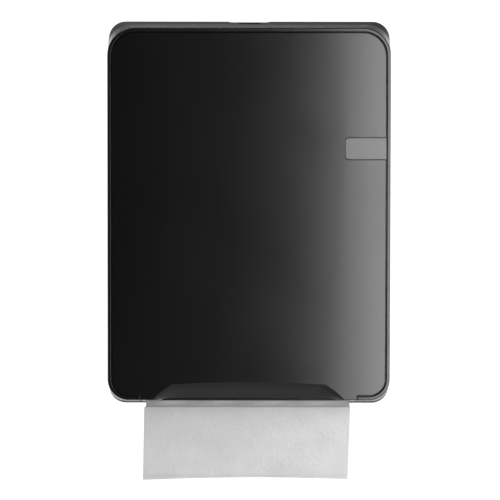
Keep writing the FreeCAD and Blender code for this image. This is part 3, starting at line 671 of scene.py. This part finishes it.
class DISPENSER_OT_hang_towel(bpy.types.Operator):
    """Hang the first towel from the mouth, folded in three as it was stacked"""

    bl_idname = "dispenser.hang_towel"
    bl_label = "Hang Towel"

    def execute(self, context):
        sizes = context.scene.dispenser_towels
        columns = 104
        shares = [column / columns for column in range(columns + 1)]
        mesh = bmesh.new()
        rows = []
        for ply, y, z in self.fold_path(sizes):
            rows.append([mesh.verts.new(self.place(sizes, ply, y, z, share)) for share in shares])
        for upper, lower in zip(rows, rows[1:]):
            for index in range(columns):
                mesh.faces.new((upper[index], upper[index + 1], lower[index + 1], lower[index]))
        towel = bpy.data.objects.new("hanging_towel", mesh_data("hanging_towel", mesh))
        finish_piece(towel, tissue_material(context), "sheet")
        self.paint_ply_shade_above_crease(context, towel)
        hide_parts("towel_sheet")
        return {"FINISHED"}

    def paint_ply_shade_above_crease(self, context, towel):
        """Above the crease the towel is one ply thick; its tissue gets a darker colour there, a painted
        shade for the cover's shadow and for the dark mouth showing through a little.
        """
        colour = list(context.scene.dispenser_colours.painted_shade_ply)
        towel.data.materials.append(creped_tissue("single_ply_tissue", colour))
        # Faces above the crease take the darker tissue, which is painted shade.
        limit = context.scene.dispenser_towels.crease_height + 0.4 * MM
        for face in towel.data.polygons:
            if face.center.z > limit:
                face.material_index = 1

    def fold_path(self, sizes):
        """Front hem, up to the crease, down inside to the bottom fold, then up to the mouth."""
        front_steps, middle_steps, back_steps = 45, 23, 80
        front_bow, middle_bow, back_bow = 0.5 * MM, 0.4 * MM, 0.3 * MM
        hem_crowding = 1.15
        hem_curl = 0.9 * MM
        curl_share = 0.03
        crease_lean = 1.1 * MM
        mouth_lean = 1.4 * MM
        bottom = sheet_low.z
        hem = bottom + sizes.hem_show
        crease = sizes.crease_height
        top = sheet_high.z - 0.2 * MM
        back_y = -64.0 * MM
        middle_y = back_y - sizes.ply_gap
        front_y = middle_y - sizes.ply_gap
        fold = sizes.ply_gap / 2
        path = []
        for step in range(front_steps + 1):
            share = (step / front_steps) ** hem_crowding
            curl = hem_curl * (1 - smooth_step(share, 0.0, curl_share))
            bow = front_bow * math.sin(math.pi * share)
            path.append((FRONT_PLY, front_y - bow - curl, hem + (crease - hem) * share))
        path += self.turn_over(FRONT_PLY, middle_y - fold, crease, fold, 1)
        for step in range(middle_steps + 1):
            share = step / middle_steps
            bow = middle_bow * math.sin(math.pi * share)
            path.append((MIDDLE_PLY, middle_y - bow, crease + (bottom - crease) * share))
        path += self.turn_over(BACK_PLY, back_y - fold, bottom, fold, -1)
        for step in range(back_steps + 1):
            share = step / back_steps
            z = bottom + (top - bottom) * share
            lean = mouth_lean * smooth_step(z, crease, top)
            lean += crease_lean * smooth_step(z, crease - 0.4 * MM, crease + 2.4 * MM)
            bow = back_bow * math.sin(math.pi * min(1.0, share * 1.35))
            path.append((BACK_PLY, back_y + lean - bow, z))
        return path

    def turn_over(self, ply, y, z, radius, upward):
        """Half a turn from one ply back to the next, over the top or under the bottom."""
        steps = 6
        points = []
        for step in range(1, steps):
            turn = math.pi * step / steps
            points.append((ply, y - radius * math.cos(turn), z + upward * radius * math.sin(turn)))
        return points

    def place(self, sizes, ply, y, z, share):
        """Puts a point of the folded strip across the leaf, with its lean, slack and small waves.

        The towel leans a little to one side. Its lower edge arches up at the middle and drops most at
        the left. The one ply above the crease is drawn in and gathered by the mouth.
        """
        lean = math.tan(math.radians(1.5))
        shift = 0.9 * MM
        arch, corner_drop, right_lift = 1.6, 2.1, 0.55
        slow_wave, flutter, gather_wave = 0.55 * MM, 0.25 * MM, 1.0 * MM
        crease_zone, gather_zone = 1.5 * MM, 6 * MM
        crease = sizes.crease_height
        across = share * 2 - 1
        fall = sheet_high.z - z
        below = smooth_step(z, crease, sheet_low.z)
        width = sizes.leaf_width / 2 * (1.008 - 0.004 * below)
        middle = -shift - lean * fall
        sag = (arch - corner_drop * across * across + right_lift * across) * MM
        sag *= 0.25 * below if ply == FRONT_PLY else below
        wave = slow_wave * math.sin(4.1 * across + 9.0 * z / (100 * MM)) * below
        wave += flutter * noise.noise(Vector((across * 3.0, z * 40.0, 1.0)))
        if ply == BACK_PLY:
            narrow = 1.0 - 0.011 * smooth_step(z, crease - crease_zone, crease + crease_zone)
            gathered = smooth_step(z, crease, crease + gather_zone)
            width *= narrow
            middle += 0.5 * MM if narrow < 0.999 else 0.0
            wave += gather_wave * math.sin(13.0 * across + 160.0 * fall) * gathered
        return Vector((middle + across * width, y + wave, z + sag))


def stage_material(name, colour, own_light):
    """Pale studio board that shows white to the camera and in reflections, and still takes a shadow."""
    white = (1.0, 1.0, 1.0, 1.0)
    surface = {"Roughness": 0.9, "Specular IOR Level": 0.1, "Emission Color": white}
    material, tree, shader = new_material(name, colour, surface)
    path = add_node(tree, "ShaderNodeLightPath")
    seen = add_node(
        tree,
        "ShaderNodeMath",
        {0: path.outputs["Is Camera Ray"], 1: path.outputs["Is Glossy Ray"]},
        operation="MAXIMUM",
    )
    either = add_node(
        tree,
        "ShaderNodeMath",
        {0: seen.outputs["Value"], 1: path.outputs["Is Transmission Ray"]},
        operation="MAXIMUM",
    )
    level = add_node(
        tree,
        "ShaderNodeMath",
        {0: either.outputs["Value"], 1: own_light},
        operation="MULTIPLY",
    )
    tree.links.new(level.outputs["Value"], shader.inputs["Emission Strength"])
    return material


def board(name, corners, material):
    """One flat studio board."""
    mesh = bmesh.new()
    mesh.faces.new([mesh.verts.new(corner) for corner in corners])
    data = mesh_data(name, mesh)
    data.materials.append(material)
    made = bpy.data.objects.new(name, data)
    bpy.context.scene.collection.objects.link(made)


def upright(start, end, top):
    """Corners of a board that stands on the floor, from one foot to the other."""
    return [(*start, FLOOR_Z), (*end, FLOOR_Z), (*end, top), (*start, top)]


def soft_light(name, place, target, size, power):
    """A soft box aimed at a point, unseen by the camera itself."""
    lamp = bpy.data.lights.new(name, "AREA")
    lamp.shape = "RECTANGLE"
    lamp.size, lamp.size_y = size
    lamp.energy = power
    made = bpy.data.objects.new(name, lamp)
    made.location = place
    made.rotation_euler = (Vector(target) - Vector(place)).to_track_quat("-Z", "Y").to_euler()
    made.visible_camera = False
    bpy.context.scene.collection.objects.link(made)


class DISPENSER_OT_build_stage(bpy.types.Operator):
    """Set up the floor, the backdrop, the lights, the room and the camera"""

    bl_idname = "dispenser.build_stage"
    bl_label = "Build Stage"

    def execute(self, context):
        studio = context.scene.dispenser_studio
        self.set_boards()
        for name, place, aim, size, power in SOFT_LIGHTS:
            soft_light(name, place, aim, size, getattr(studio, power))
        self.light_room(context, studio)
        self.aim_camera(context, studio)
        context.scene.view_settings.view_transform = "Standard"
        return {"FINISHED"}

    def set_boards(self):
        """The floor, the backdrop and both sides. A board in front would show in the panel's sheen."""
        side, back = BOARD_SIDE_X, BOARD_BACK_Y
        near = [(-side, FLOOR_FRONT_Y, FLOOR_Z), (side, FLOOR_FRONT_Y, FLOOR_Z)]
        far = [(side, back, FLOOR_Z), (-side, back, FLOOR_Z)]
        matt = stage_material("matt_floor_board", linear("#c0c0c0"), own_light=0.1)
        paper = stage_material("matt_backdrop_paper", linear("#e2e2e2"), own_light=1.0)
        left_side = upright((-side, SIDE_FRONT_Y), (-side, back), SIDE_TOP_Z)
        right_side = upright((side, back), (side, SIDE_FRONT_Y), SIDE_TOP_Z)
        board("studio_floor", near + far, matt)
        board("studio_backdrop", upright((-side, back), (side, back), BACKDROP_TOP_Z), paper)
        board("studio_left_side", left_side, paper)
        board("studio_right_side", right_side, paper)

    def light_room(self, context, studio):
        """A plain grey room with a soft dark side at the left front, as a studio flag makes."""
        flag_side = Vector((-0.36, -0.93, 0.0)).normalized()
        flag_edge = math.cos(math.radians(17.0))
        flag_middle = math.cos(math.radians(9.0))
        flag_level = 0.02
        world = bpy.data.worlds.new("grey_room")
        context.scene.world = world
        world.use_nodes = True
        tree = world.node_tree
        tree.nodes.clear()
        direction = add_node(tree, "ShaderNodeTexCoord").outputs["Generated"]
        nearness = add_node(
            tree, "ShaderNodeVectorMath", {0: direction, 1: flag_side}, operation="DOT_PRODUCT"
        )
        level = add_node(
            tree,
            "ShaderNodeMapRange",
            {
                "Value": nearness.outputs["Value"],
                "From Min": flag_edge,
                "From Max": flag_middle,
                "To Min": studio.room_level,
                "To Max": flag_level,
            },
            interpolation_type="SMOOTHSTEP",
        )
        background = add_node(
            tree,
            "ShaderNodeBackground",
            {"Color": (1.0, 1.0, 1.0, 1.0), "Strength": level.outputs["Result"]},
        )
        add_node(tree, "ShaderNodeOutputWorld", {"Surface": background.outputs["Background"]})

    def aim_camera(self, context, studio):
        """The photograph's view: far off, a little above the middle, looking slightly down."""
        lens = bpy.data.cameras.new("photo_camera")
        lens.lens = studio.lens
        lens.sensor_width = 36.0
        camera = bpy.data.objects.new("photo_camera", lens)
        place = Vector((1.2, -2076.6, 40.5)) * MM
        target = Vector((1.1, -138.0, -33.3)) * MM
        look = (target - place).to_track_quat("-Z", "Y")
        roll = Quaternion((0.0, 0.0, 1.0), studio.camera_roll)
        camera.location = place
        camera.rotation_mode = "QUATERNION"
        camera.rotation_quaternion = look @ roll
        context.scene.collection.objects.link(camera)
        context.scene.camera = camera


class DISPENSER_PT_parts(bpy.types.Panel):
    """Lists the dispenser's operators"""

    bl_label = "Towel Dispenser"
    bl_idname = "DISPENSER_PT_parts"
    bl_space_type = "VIEW_3D"
    bl_region_type = "UI"
    bl_category = "Dispenser"

    def draw(self, context):
        for step in STEPS:
            self.layout.operator(step.bl_idname)


STEPS = (
    DISPENSER_OT_dress_shells,
    DISPENSER_OT_dress_inner_parts,
    DISPENSER_OT_dress_metal_parts,
    DISPENSER_OT_stack_towels,
    DISPENSER_OT_hang_towel,
    DISPENSER_OT_build_stage,
)

SETTINGS = {
    "dispenser_colours": DispenserColours,
    "dispenser_towels": DispenserTowels,
    "dispenser_studio": DispenserStudio,
}


def register():
    for made in (*SETTINGS.values(), *STEPS, DISPENSER_PT_parts):
        bpy.utils.register_class(made)
    for name, group in SETTINGS.items():
        setattr(bpy.types.Scene, name, PointerProperty(type=group))


def unregister():
    for name in SETTINGS:
        delattr(bpy.types.Scene, name)
    for made in (DISPENSER_PT_parts, *reversed(STEPS), *reversed(SETTINGS.values())):
        bpy.utils.unregister_class(made)


def main():
    register()
    bpy.ops.dispenser.dress_shells()
    bpy.ops.dispenser.dress_inner_parts()
    bpy.ops.dispenser.dress_metal_parts()
    bpy.ops.dispenser.stack_towels()
    bpy.ops.dispenser.hang_towel()
    bpy.ops.dispenser.build_stage()


if __name__ == "__main__":
    main()
